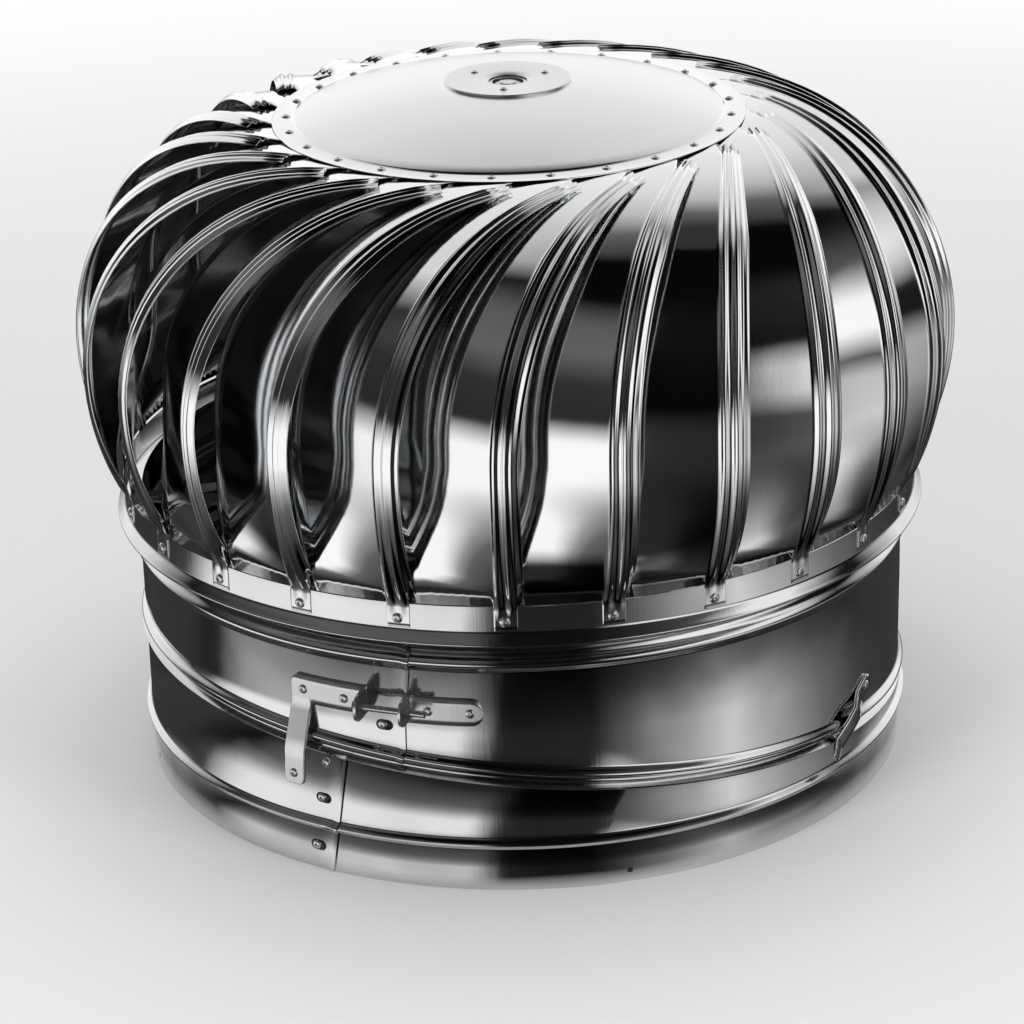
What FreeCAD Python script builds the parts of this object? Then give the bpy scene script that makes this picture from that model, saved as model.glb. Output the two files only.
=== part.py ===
import FreeCAD, Part
import math
import os

# Roof turbine ventilator: a rolled sheet-metal throat in two collars joined by a slanted swivel bead,
# a latch that clamps that joint, a fixed shaft on braces, and a round rotor of pressed vanes.
# Millimetres. The origin is the centre of the lower collar's bottom edge, +Z is the rotor's axis,
# and -Y is the front. Azimuths are in degrees from the front, positive to the right.

# Throat collars
throat_radius = 300.0
collar_sheet = 0.8
lower_bead_z = 38.0
lower_bead_half = 5.0
lower_bead_stand = 4.3
cylinder_base_z = 132.0
top_bead_half = 8.0
top_bead_stand = 4.8
shoulder_rise = 5.0
neck_height = 25.0
neck_inset = 3.5

# Slanted swivel joint between the collars
joint_z = 89.0
joint_rise = 30.0
joint_high_azimuth = -75.0
joint_clearance = 0.4
joint_bead_half = 6.0
joint_bead_stand = 4.6
stop_bead_drop = 10.5
stop_bead_half = 3.0
stop_bead_stand = 3.4
inner_neck_rise = 16.0

# Holes for the screws that fix the skirt to the duct
skirt_hole_radius = 2.1
skirt_hole_z = 9.1
skirt_hole_azimuth = 14.2
skirt_hole_count = 4

# Latch that clamps the upper collar: two plates with lugs, and a bolt across them
latch_sheet = 2.0
latch_azimuth = -19.8
latch_rise = 15.0
left_lug_offset = 15.0
right_lug_offset = 17.5
lug_stand = 22.0
lug_height = 21.0
lug_corner = 5.0
bolt_radius = 2.5
bolt_stand = 12.0
bolt_length = 52.0
bolt_head_height = 3.5
bolt_across = 8.0
bolt_clearance = 0.25
nut_height = 4.0
nut_clearance = 0.05
left_plate_azimuth = -34.6
left_plate_height = 21.0
left_plate_seat = 0.45
right_plate_azimuth = -5.8
right_plate_height = 20.4
right_plate_seat = 0.1
right_plate_drop = 3.0
right_plate_flat = 0.6
leg_azimuth = -34.7
leg_width = 17.0
leg_stand = 10.0
leg_slope_drop = 36.0
leg_drop = 74.0
plate_corner = 5.0

# Retaining clip on the other side of the upper collar
clip_azimuth = 59.0
clip_z = 90.0
clip_slope = 56.0
clip_width = 13.0
clip_sheet = 1.5
clip_seat = 0.1
clip_seat_length = 16.0
clip_step_length = 10.0
clip_reach = 26.0
clip_flap = 9.0
clip_flap_drop = 4.5
clip_stand = 8.0

# Rotor ring that carries the feet of the vanes
ring_sheet = 0.8
ring_top_z = 232.0
ring_stand = 10.0
ring_flange = 20.0
ring_skirt_drop = 7.0
ring_skirt_flare = 6.0
ring_hem_width = 2.6
ring_hem_height = 2.4
ring_neck_gap = 11.0

# Cap of the rotor
cap_sheet = 0.8
cap_rim_radius = 180.0
cap_rim_z = 506.0
cap_rim_width = 17.5
dome_step = 1.8
dome_rise = 25.0
dome_flat_radius = 50.0
dome_bands = 2
cap_hole_radius = 20.0
hub_plate_radius = 48.0
hub_plate_sheet = 2.0
hub_hole_radius = 14.5

# Pressed vanes: the ribbed free edge of each lies in an upright plane that passes beside the axis.
# Rows are (share of the belly's height, skew, share of the width) below the widest level and
# (angle, share of the width) above it.
vane_count = 25
vane_sheet = 0.6
vane_seat = 0.1
foot_azimuth = -2.44
foot_drop = 18.5
foot_rise = 1.2
foot_gap = 13.0
foot_lip = 2.0
vane_bulge = 25.0
vane_belly_height = 104.8
vane_overlap = 18.0
crown_cap_gap = 6.0
vane_plane_offset = 166.0
vane_plane_azimuth = 60.3
rib_start = -9.0
rib_pitch = 8.5
rib_height = 2.2
lip_width = 5.0
lip_depth = 4.0
end_lip_depth = 1.5
belly_rows = ((0.29, 16.0, 0.81), (0.63, 26.5, 0.95))
crown_rows = ((0.0, 1.0), (24.0, 0.96), (44.0, 0.82), (60.0, 0.67), (75.0, 0.49))
rib_end_offset = 96.0
rib_end_share = 0.6
tab_end_offset = 76.0
tab_left = 32.0
tab_right = 11.0

# Fixed shaft, its bearings and the braces that carry it
shaft_radius = 6.0
shaft_tail = 18.0
shaft_end = 1.0
shaft_fit = 0.05
shoulder_radius = 9.0
shoulder_height = 5.0
spacer_radius = 8.0
bearing_width = 10.0
bearing_race_radius = 9.5
bearing_running = 0.08
bearing_outer_radius = 16.0
bearing_fit = 0.02
top_bearing_drop = 19.0
housing_wall = 2.5
housing_lip = 2.0
housing_lip_radius = 12.0
housing_flange_radius = 38.0
housing_flange_sheet = 2.0
arm_count = 5
arm_width = 12.0
arm_sheet = 2.0
arm_foot = 17.0
arm_seat = 0.3
brace_count = 3
brace_azimuth = 30.0
brace_width = 20.0
brace_sheet = 2.0
brace_foot = 19.0
brace_neck_gap = 3.0
brace_drop = 19.0
brace_lap = 12.0
brace_seat = 0.45
hub_disc_radius = 34.0
hub_disc_sheet = 4.0
shaft_nut_across = 18.0
shaft_nut_height = 7.0

# Sizes that follow from the ones above
origin = FreeCAD.Vector(0, 0, 0)
up = FreeCAD.Vector(0, 0, 1)
right = FreeCAD.Vector(1, 0, 0)
joint_tilt = math.degrees(math.atan(joint_rise / throat_radius))
neck_top_z = ring_top_z - ring_neck_gap
neck_base_z = neck_top_z - neck_height
top_bead_z = neck_base_z - shoulder_rise - top_bead_half
latch_z = cylinder_base_z + latch_rise
lug_radius = throat_radius + lug_stand
bolt_axis_radius = throat_radius + bolt_stand
ring_radius = throat_radius + ring_stand
dome_radius = cap_rim_radius - cap_rim_width
dome_top_z = cap_rim_z + dome_rise
foot_radius = ring_radius + vane_seat + vane_sheet
foot_line_z = ring_top_z + foot_rise
vane_radius = ring_radius + vane_bulge
vane_middle_z = foot_line_z + vane_belly_height
crown_centre_radius = cap_rim_radius + crown_cap_gap
vane_pitch = 2 * math.pi / vane_count
vane_width = vane_radius * vane_pitch + vane_overlap
rib_columns = [rib_start + step * rib_pitch / 2 for step in range(5)]
low_bearing_z = ring_top_z
top_bearing_z = dome_top_z - top_bearing_drop
bearing_bore = bearing_outer_radius + bearing_fit
brace_foot_top_z = neck_top_z - brace_neck_gap
brace_foot_z = brace_foot_top_z - brace_foot
shoulder_low = brace_foot_z - brace_drop
hub_disc_z = shoulder_low - hub_disc_sheet


def point(radius, azimuth, z):
    """A point by its radius, its azimuth from the front and its height."""
    turn = math.radians(azimuth)
    return FreeCAD.Vector(radius * math.sin(turn), -radius * math.cos(turn), z)


def turned(shape, azimuth):
    """The shape turned about the rotor's axis by an azimuth."""
    copy = shape.copy()
    copy.rotate(origin, up, azimuth)
    return copy


def raised(shape, z):
    """The shape lifted along the rotor's axis."""
    copy = shape.copy()
    copy.translate(FreeCAD.Vector(0, 0, z))
    return copy


def around(shape, count, azimuth):
    """Copies of the shape spread evenly about the rotor's axis."""
    return [turned(shape, azimuth + index * 360.0 / count) for index in range(count)]


def fused(solids):
    """One solid from several that overlap or meet face to face."""
    return solids[0].multiFuse(solids[1:]).removeSplitter()


def revolved(outline):
    """A solid of revolution from (radius, height) corners."""
    corners = [FreeCAD.Vector(radius, 0, height) for radius, height in outline]
    face = Part.Face(Part.makePolygon(corners + corners[:1]))
    return face.revolve(origin, up, 360)


def disc_stack(outline):
    """A solid of revolution that is filled to its axis."""
    return revolved([(0, outline[0][1])] + outline + [(0, outline[-1][1])])


def tube(inner, outer, low_z, high_z):
    """A plain round sleeve on the rotor's axis."""
    return revolved([(inner, low_z), (outer, low_z), (outer, high_z), (inner, high_z)])


def prism(corners, direction):
    """A solid from a flat polygon of corners, drawn out along a direction."""
    return Part.Face(Part.makePolygon(corners + corners[:1])).extrude(direction)


def strip(profile, width):
    """A flat strip at the front, bent along a profile of (radius, height) corners."""
    corners = [FreeCAD.Vector(-width / 2, -radius, height) for radius, height in profile]
    return prism(corners, FreeCAD.Vector(width, 0, 0))


def hexagon(across, height):
    """A hexagonal prism from its width across the flats."""
    radius = across / 2 / math.cos(math.pi / 6)
    corners = [point(radius, 60 * side + 30, 0) for side in range(6)]
    return prism(corners, FreeCAD.Vector(0, 0, height))


def placed(shape, place, direction):
    """The shape moved to a place, with its +Z along a direction."""
    copy = shape.copy()
    copy.Placement = FreeCAD.Placement(place, FreeCAD.Rotation(up, direction))
    return copy


def bead(radius, centre, half, stand):
    """Corners of a rolled bead from bottom to top."""
    return [(radius, centre - half), (radius + stand, centre), (radius, centre + half)]


def slanted(shape):
    """From the swivel joint's own frame, with its high side at the front, to the collars' frame."""
    copy = shape.copy()
    copy.rotate(origin, right, -joint_tilt)
    return raised(copy, joint_z)


def ring_wire(radius, height):
    """A level circle."""
    return Part.Wire(Part.makeCircle(radius, FreeCAD.Vector(0, 0, height)))


def lower_body(inset):
    """The filled form of the lower collar: skirt, slanted part, and the neck inside the joint.

    The neck leans in above its bead, since the upper collar's wall stands slanted to the joint.
    """
    radius = throat_radius - inset
    neck = radius - collar_sheet - joint_clearance
    neck_lean = (inner_neck_rise - joint_bead_half) * joint_rise / throat_radius
    skirt = [(radius, 0)] + bead(radius, lower_bead_z, lower_bead_half, lower_bead_stand)
    stop_bead = bead(radius, -stop_bead_drop, stop_bead_half, stop_bead_stand)[:2]
    joint = stop_bead + [(neck, -stop_bead_drop + stop_bead_half)]
    joint += bead(neck, 0, joint_bead_half - joint_clearance, joint_bead_stand)
    joint.append((neck - neck_lean, inner_neck_rise))
    low_ring = ring_wire(radius, skirt[-1][1])
    high_ring = slanted(ring_wire(radius, joint[0][1]))
    loft = Part.makeLoft([low_ring, high_ring], True, True)
    return disc_stack(skirt).multiFuse([loft, slanted(disc_stack(joint))])


def lower_collar():
    """The collar that slips over the roof duct, from its skirt to the swivel's inner neck."""
    wall = turned(lower_body(0).cut(lower_body(collar_sheet)), joint_high_azimuth)
    start = point(throat_radius - lower_bead_half, 0, skirt_hole_z)
    drill = Part.makeCylinder(skirt_hole_radius, 2 * lower_bead_half, start, -point(1, 180, 0))
    for hole in around(drill, skirt_hole_count, skirt_hole_azimuth):
        wall = wall.cut(hole)
    return wall.removeSplitter()


def upper_body(inset):
    """The filled form of the upper collar: slanted bead, barrel, top bead, shoulder and neck."""
    radius = throat_radius - inset
    neck = radius - neck_inset
    joint = bead(radius, 0, joint_bead_half, joint_bead_stand)
    barrel = [(radius, cylinder_base_z)] + bead(radius, top_bead_z, top_bead_half, top_bead_stand)
    barrel += [(neck, neck_base_z), (neck, neck_top_z)]
    low_ring = slanted(ring_wire(radius, joint_bead_half))
    high_ring = ring_wire(radius, cylinder_base_z)
    loft = Part.makeLoft([low_ring, high_ring], True, True)
    return disc_stack(barrel).multiFuse([loft, slanted(disc_stack(joint))])


def upper_collar():
    """The collar that turns on the slanted joint and stands inside the rotor's ring."""
    wall = upper_body(0).cut(upper_body(collar_sheet)).removeSplitter()
    return turned(wall, joint_high_azimuth)


def rolled_plate(inner_radius, left_azimuth, right_azimuth, height):
    """A plate rolled to the collar's curve, centred on the bolt's height."""
    low = FreeCAD.Vector(0, 0, latch_z - height / 2)
    angle = right_azimuth - left_azimuth
    outside = Part.makeCylinder(inner_radius + latch_sheet, height, low, up, angle)
    plate = outside.cut(Part.makeCylinder(inner_radius, height, low, up))
    return turned(plate, left_azimuth - 90)


def end_edges(plate, side):
    """The short corner edges at the left (-1) or right (1) end of a rolled plate."""
    short = [edge for edge in plate.Edges if edge.Length < 2 * latch_sheet]
    end = max(side * edge.CenterOfMass.x for edge in short)
    return [edge for edge in short if side * edge.CenterOfMass.x > end - latch_sheet]


def lug(offset, inner_radius):
    """A lug bent out from a latch plate and drilled for the clamp bolt."""
    corner = FreeCAD.Vector(offset, -lug_radius, -lug_height / 2)
    block = Part.makeBox(latch_sheet, lug_radius - inner_radius, lug_height, corner)
    outer_edges = [edge for edge in block.Edges if edge.BoundBox.YMax < -bolt_axis_radius]
    corners = [edge for edge in outer_edges if edge.BoundBox.XLength > latch_sheet / 2]
    block = block.makeFillet(lug_corner, corners)
    start = FreeCAD.Vector(offset - latch_sheet, -bolt_axis_radius, 0)
    drill = Part.makeCylinder(bolt_radius + bolt_clearance, 3 * latch_sheet, start, right)
    return raised(turned(block.cut(drill), latch_azimuth), latch_z)


def latch_left_plate():
    """The latch plate left of the seam, with its lug and the leg that reaches below the joint."""
    inner = throat_radius + left_plate_seat
    outer = inner + latch_sheet
    lug_azimuth = latch_azimuth - math.degrees(left_lug_offset / inner)
    body = rolled_plate(inner, left_plate_azimuth, lug_azimuth, left_plate_height)
    top = latch_z + left_plate_height / 2
    bottom = latch_z - left_plate_height / 2
    bend = bottom - leg_slope_drop
    leg_inner = throat_radius + leg_stand
    leg_outer = leg_inner + latch_sheet
    leg_end = latch_z - leg_drop
    profile = [(inner, bottom + plate_corner), (inner, bottom), (leg_inner, bend), (leg_inner, leg_end)]
    profile += [(leg_outer, leg_end), (leg_outer, bend), (outer, bottom), (outer, bottom + plate_corner)]
    leg = turned(strip(profile, leg_width), leg_azimuth)
    top_edges = [edge for edge in end_edges(body, -1) if edge.CenterOfMass.z > latch_z]
    body = body.makeFillet(plate_corner, top_edges)
    return fused([body, leg, lug(-left_lug_offset - latch_sheet, inner)])


def latch_right_plate():
    """The latch plate right of the seam, with its lug."""
    inner = throat_radius + right_plate_seat
    lug_azimuth = latch_azimuth + math.degrees(right_lug_offset / inner)
    body = rolled_plate(inner, lug_azimuth, right_plate_azimuth, right_plate_height)
    body = body.makeFillet(right_plate_height / 2 - right_plate_flat, end_edges(body, 1))
    return fused([raised(body, -right_plate_drop), lug(right_lug_offset, inner)])


def on_bolt(shape, offset):
    """The shape set on the clamp bolt's axis, at an offset to the right of the latch's middle."""
    direction = point(1, latch_azimuth + 90, 0)
    return placed(shape, point(bolt_axis_radius, latch_azimuth, latch_z) + direction * offset, direction)


def clamp_bolt():
    """The hexagon bolt that runs through both lugs."""
    seat = -left_lug_offset - latch_sheet
    head = on_bolt(hexagon(bolt_across, bolt_head_height), seat - bolt_head_height)
    return fused([head, on_bolt(Part.makeCylinder(bolt_radius, bolt_length), seat)])


def clamp_nut():
    """The nut that pulls the lugs together."""
    bore = Part.makeCylinder(bolt_radius + nut_clearance, nut_height)
    return on_bolt(hexagon(bolt_across, nut_height).cut(bore), right_lug_offset + latch_sheet)


def retaining_clip():
    """The bent strap that is riveted to the upper collar and reaches down over the swivel bead."""
    seat = throat_radius + clip_seat
    stand = seat + clip_stand
    step = clip_seat_length + clip_step_length
    end = step + clip_reach
    flap_end = end + clip_flap_drop
    inner_face = [(seat, 0), (seat, -clip_seat_length), (stand, -step), (stand, -end)]
    inner_face.append((stand + clip_flap, -flap_end))
    outer_face = [(radius + clip_sheet, height) for radius, height in inner_face[:4]]
    outer_face.append((stand + clip_flap, -flap_end + clip_sheet))
    strap = strip(inner_face + outer_face[::-1], clip_width)
    strap.rotate(origin, FreeCAD.Vector(0, -1, 0), -clip_slope)
    return turned(raised(strap, clip_z), clip_azimuth)


def rotor_ring():
    """The ring under the vanes: an upright flange, a sloping skirt and a rolled hem."""
    inner = ring_radius - ring_sheet
    fold_z = ring_top_z - ring_flange
    hem_z = fold_z - ring_skirt_drop
    hem_radius = ring_radius + ring_skirt_flare
    hem_inner = hem_radius - ring_hem_width
    return revolved(
        [
            (inner, ring_top_z),
            (inner, fold_z - ring_sheet / 2),
            (hem_inner, hem_z),
            (hem_inner, hem_z - ring_hem_height),
            (hem_radius, hem_z - ring_hem_height),
            (hem_radius, hem_z),
            (ring_radius, fold_z),
            (ring_radius, ring_top_z),
        ]
    )


def dome_line(top_z):
    """The curve of the dome as (radius, height) corners, from its edge to its flat seat."""
    edge_z = cap_rim_z + cap_sheet + dome_step
    fall = (dome_top_z - edge_z) / (dome_radius**2 - dome_flat_radius**2)
    step = (dome_radius - dome_flat_radius) / dome_bands
    radii = [dome_radius - band * step for band in range(dome_bands + 1)]
    return [(radius, top_z - fall * (radius**2 - dome_flat_radius**2)) for radius in radii]


def cap():
    """The pressed cap: a flat rim, a small step and a shallow dome with a flat seat for the hub."""
    rim_top = cap_rim_z + cap_sheet
    step_radius = dome_radius + dome_step
    top = [(cap_rim_radius, cap_rim_z), (cap_rim_radius, rim_top), (step_radius, rim_top)]
    top += dome_line(dome_top_z) + [(cap_hole_radius, dome_top_z)]
    under = [(step_radius - cap_sheet, cap_rim_z)] + dome_line(dome_top_z - cap_sheet)
    under += [(cap_hole_radius, dome_top_z - cap_sheet)]
    return revolved(top + under[::-1])


def sheet_solid(rows, thickness):
    """A closed sheet from rows of (outer point, unit normal); a missing point is None.

    Each cell between four points becomes two triangles on both sides of the sheet, and each open
    edge is closed across the thickness.
    """
    outer = {}
    inner = {}
    for row, places in enumerate(rows):
        for column, place in enumerate(places):
            if place is not None:
                outer[row, column] = place[0]
                inner[row, column] = place[0] - place[1] * thickness
    cells = []
    for row, column in outer:
        corners = [(row, column), (row, column + 1), (row + 1, column + 1), (row + 1, column)]
        if all(corner in outer for corner in corners):
            cells.append(corners)
    edges = {(cell[i], cell[(i + 1) % 4]) for cell in cells for i in range(4)}
    triangles = []
    for a, b, c, d in cells:
        triangles += [(outer[a], outer[b], outer[c]), (outer[a], outer[c], outer[d])]
        triangles += [(inner[a], inner[c], inner[b]), (inner[a], inner[d], inner[c])]
    for a, b in sorted(edges):
        if (b, a) not in edges:
            triangles += [(outer[b], outer[a], inner[a]), (outer[b], inner[a], inner[b])]
    corners = [corner for triangle in triangles for corner in triangle]
    numbers = [(3 * i, 3 * i + 1, 3 * i + 2) for i in range(len(triangles))]
    shell = Part.Shape()
    shell.makeShapeFromMesh((corners, numbers), 0.001, True)
    return Part.makeSolid(Part.Shell(shell.Faces)).removeSplitter()


def foot_row(z, columns):
    """A row of the vane's sheet that follows the ring's circle."""
    azimuths = [-math.degrees(column / foot_radius) for column in columns]
    return [(point(foot_radius, azimuth, z), point(1, azimuth, 0)) for azimuth in azimuths]


def sheet_row(place, normal, along, columns, heights):
    """A row of the vane's sheet across the strip, from its free edge to its inner edge."""
    return [(place + along * column + normal * height, normal) for column, height in zip(columns, heights)]


def strip_row(place, normal, along, width, share, lip):
    """A row with the free edge's lip, the ribs at a share of their spacing, and the plain panel."""
    columns = [column * share for column in [rib_start - lip_width] + rib_columns] + [width]
    heights = [-lip, 0, rib_height, 0, rib_height, 0, 0]
    return sheet_row(place, normal, along, columns, heights)


def belly_row(height_share, skew, width_share):
    """A row below the vane's widest level, turned inwards by a skew angle."""
    drop = vane_radius - foot_radius
    belly_radius = (drop**2 + vane_belly_height**2) / (2 * drop)
    below = vane_belly_height * (1 - height_share)
    lean = -math.asin(below / belly_radius)
    place = point(vane_radius - belly_radius * (1 - math.cos(lean)), 0, vane_middle_z - below)
    normal = point(math.cos(lean), -skew, 0) + up * math.sin(lean)
    along = point(1, -90 - skew, 0)
    return strip_row(place, normal, along, width_share * vane_width, 1.0, lip_depth)


def plane_point(offset, z):
    """A point of the upright plane of the vane's ribs."""
    return point(vane_plane_offset, vane_plane_azimuth, z) + point(offset, vane_plane_azimuth - 90, 0)


def crown_row(angle, width, share, lip):
    """A row above the vane's widest level."""
    reach = vane_radius - crown_centre_radius
    height = cap_rim_z - vane_seat - vane_middle_z
    turn = math.radians(angle)
    radius = crown_centre_radius + reach * math.cos(turn)
    offset = math.sqrt(radius**2 - vane_plane_offset**2)
    normal = point(height * math.cos(turn), vane_plane_azimuth - 90, 0)
    normal += up * (reach * math.sin(turn) * radius / offset)
    place = plane_point(offset, vane_middle_z + height * math.sin(turn))
    return strip_row(place, normal.normalize(), point(-1, vane_plane_azimuth, 0), width, share, lip)


def vane():
    """One pressed vane at the front: foot tab, ribbed free edge, inclined panel and top tab."""
    foot_panel_width = foot_radius * vane_pitch - foot_gap
    foot_columns = [rib_start - foot_lip] + rib_columns + [foot_panel_width]
    tab_row = [None] + foot_row(ring_top_z - foot_drop, rib_columns) + [None]
    rows = [tab_row, foot_row(foot_line_z, foot_columns)]
    rows += [belly_row(*row) for row in belly_rows]
    rows += [crown_row(angle, share * vane_width, 1.0, lip_depth) for angle, share in crown_rows]
    end_radius = math.hypot(rib_end_offset, vane_plane_offset)
    reach = vane_radius - crown_centre_radius
    end_angle = math.degrees(math.acos((end_radius - crown_centre_radius) / reach))
    rows.append(crown_row(end_angle, tab_left, rib_end_share, end_lip_depth))
    tab_end = plane_point(tab_end_offset, cap_rim_z - vane_seat)
    along = point(-1, vane_plane_azimuth, 0)
    rows.append([None] * len(rib_columns) + sheet_row(tab_end, up, along, (tab_right, tab_left), (0, 0)))
    return sheet_solid(rows, vane_sheet)


def hub_spider():
    """The disc that carries the shaft, with the braces welded on it out to the upper collar's neck."""
    outer = throat_radius - neck_inset - collar_sheet - brace_seat
    inner = outer - brace_sheet
    start = hub_disc_radius - brace_lap
    profile = [(start, shoulder_low), (hub_disc_radius, shoulder_low), (outer, brace_foot_z)]
    profile += [(outer, brace_foot_top_z), (inner, brace_foot_top_z), (inner, brace_foot_z + brace_sheet)]
    profile += [(hub_disc_radius, shoulder_low + brace_sheet), (start, shoulder_low + brace_sheet)]
    disc = tube(shaft_radius + shaft_fit, hub_disc_radius, hub_disc_z, shoulder_low)
    return fused([disc] + around(strip(profile, brace_width), brace_count, brace_azimuth))


def shaft():
    """The fixed shaft, with the shoulder that rests on the hub disc."""
    shoulder_high = shoulder_low + shoulder_height
    return disc_stack(
        [
            (shaft_radius, hub_disc_z - shaft_tail),
            (shaft_radius, shoulder_low),
            (shoulder_radius, shoulder_low),
            (shoulder_radius, shoulder_high),
            (shaft_radius, shoulder_high),
            (shaft_radius, top_bearing_z + bearing_width + shaft_nut_height + shaft_end),
        ]
    )


def shaft_nuts():
    """The nut under the hub disc and the nut on the top bearing."""
    bore = Part.makeCylinder(shaft_radius + shaft_fit, shaft_nut_height)
    nut = hexagon(shaft_nut_across, shaft_nut_height).cut(bore)
    places = (hub_disc_z - shaft_nut_height, top_bearing_z + bearing_width)
    return Part.Compound([raised(nut, z) for z in places])


def shaft_spacers():
    """The tubes round the shaft that hold the bearings apart."""
    inner = shaft_radius + shaft_fit
    low = tube(inner, spacer_radius, shoulder_low + shoulder_height, low_bearing_z)
    high = tube(inner, spacer_radius, low_bearing_z + bearing_width, top_bearing_z)
    return Part.Compound([low, high])


def bearing_races(inner, outer):
    """One race of each of the two bearings."""
    levels = (low_bearing_z, top_bearing_z)
    return Part.Compound([tube(inner, outer, z, z + bearing_width) for z in levels])


def bearing_carriers():
    """The flanged housing that hangs the cap on the top bearing, and the low housing with its arms."""
    wall = bearing_bore + housing_wall
    flange_top = dome_top_z - cap_sheet
    flange_low = flange_top - housing_flange_sheet
    race_top = top_bearing_z + bearing_width
    top_housing = revolved(
        [
            (bearing_bore, top_bearing_z - housing_lip),
            (wall, top_bearing_z - housing_lip),
            (wall, flange_low),
            (housing_flange_radius, flange_low),
            (housing_flange_radius, flange_top),
            (housing_lip_radius, flange_top),
            (housing_lip_radius, race_top),
            (bearing_bore, race_top),
        ]
    )
    low_housing = revolved(
        [
            (housing_lip_radius, low_bearing_z - housing_flange_sheet),
            (housing_flange_radius, low_bearing_z - housing_flange_sheet),
            (housing_flange_radius, low_bearing_z),
            (wall, low_bearing_z),
            (wall, low_bearing_z + bearing_width + housing_lip),
            (bearing_bore, low_bearing_z + bearing_width + housing_lip),
            (bearing_bore, low_bearing_z),
            (housing_lip_radius, low_bearing_z),
        ]
    )
    outer = ring_radius - ring_sheet - arm_seat
    top = low_bearing_z + arm_sheet
    start = wall - housing_wall / 2
    foot_z = low_bearing_z - arm_foot
    profile = [(start, low_bearing_z), (outer - arm_sheet, low_bearing_z), (outer - arm_sheet, foot_z)]
    profile += [(outer, foot_z), (outer, top), (start, top)]
    arms = around(strip(profile, arm_width), arm_count, foot_azimuth)
    clear_bore = Part.makeCylinder(bearing_bore, arm_sheet, FreeCAD.Vector(0, 0, low_bearing_z))
    arms = [arm.cut(clear_bore) for arm in arms]
    return Part.Compound([fused([low_housing] + arms), top_housing])


parts = {
    "lower_collar": lower_collar(),
    "upper_collar": upper_collar(),
    "latch_left_plate": latch_left_plate(),
    "latch_right_plate": latch_right_plate(),
    "clamp_bolt": clamp_bolt(),
    "clamp_nut": clamp_nut(),
    "retaining_clip": retaining_clip(),
    "hub_spider": hub_spider(),
    "shaft": shaft(),
    "shaft_nuts": shaft_nuts(),
    "shaft_spacers": shaft_spacers(),
    "bearing_inner_races": bearing_races(shaft_radius + shaft_fit, bearing_race_radius),
    "bearing_outer_races": bearing_races(bearing_race_radius + bearing_running, bearing_outer_radius),
    "bearing_carriers": bearing_carriers(),
    "rotor_ring": rotor_ring(),
    "cap": cap(),
    "hub_plate": tube(hub_hole_radius, hub_plate_radius, dome_top_z, dome_top_z + hub_plate_sheet),
}
for number, one_vane in enumerate(around(vane(), vane_count, foot_azimuth), start=1):
    parts["vane_{:02d}".format(number)] = one_vane

os.makedirs("parts", exist_ok=True)
for name, shape in parts.items():
    shape.exportStep("parts/" + name + ".step")
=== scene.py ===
import math

import bmesh
import bpy
from mathutils import Matrix, Vector


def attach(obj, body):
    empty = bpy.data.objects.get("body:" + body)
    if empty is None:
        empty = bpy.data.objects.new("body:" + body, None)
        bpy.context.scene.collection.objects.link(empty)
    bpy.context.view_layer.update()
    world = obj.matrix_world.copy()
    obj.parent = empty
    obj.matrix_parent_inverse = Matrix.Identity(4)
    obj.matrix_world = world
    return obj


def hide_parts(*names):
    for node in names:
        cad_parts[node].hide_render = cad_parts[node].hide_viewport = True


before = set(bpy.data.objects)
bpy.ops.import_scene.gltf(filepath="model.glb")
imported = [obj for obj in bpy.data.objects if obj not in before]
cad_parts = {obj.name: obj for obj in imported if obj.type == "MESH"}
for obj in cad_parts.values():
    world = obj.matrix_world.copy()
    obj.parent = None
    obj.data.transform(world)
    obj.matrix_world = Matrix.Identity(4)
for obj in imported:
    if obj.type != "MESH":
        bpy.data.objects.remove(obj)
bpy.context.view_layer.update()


# Shaft, bearings, carriers, spacers and spider inside the throat, and the bolt and nut of the latch:
# turned, bent and welded steel, shown by the solids themselves. Sheet is satin, and what is turned is
# plainer and darker. All steel here waves a little and carries fine upright hairlines.
TONE_SCALE = 9.0
HAIRLINE_SCALE = 420.0
HAIRLINE_STRETCH = 0.06
WAVE_DEPTH = 0.004
HAIRLINE_DEPTH = 0.0004


def made(nodes, kind, operation=None, inputs=None):
    """A shader node with its operation and some of its inputs set, by name or by number."""
    node = nodes.new("ShaderNode" + kind)
    if operation:
        node.operation = operation
    for socket, value in (inputs or {}).items():
        node.inputs[socket].default_value = value
    return node


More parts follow.
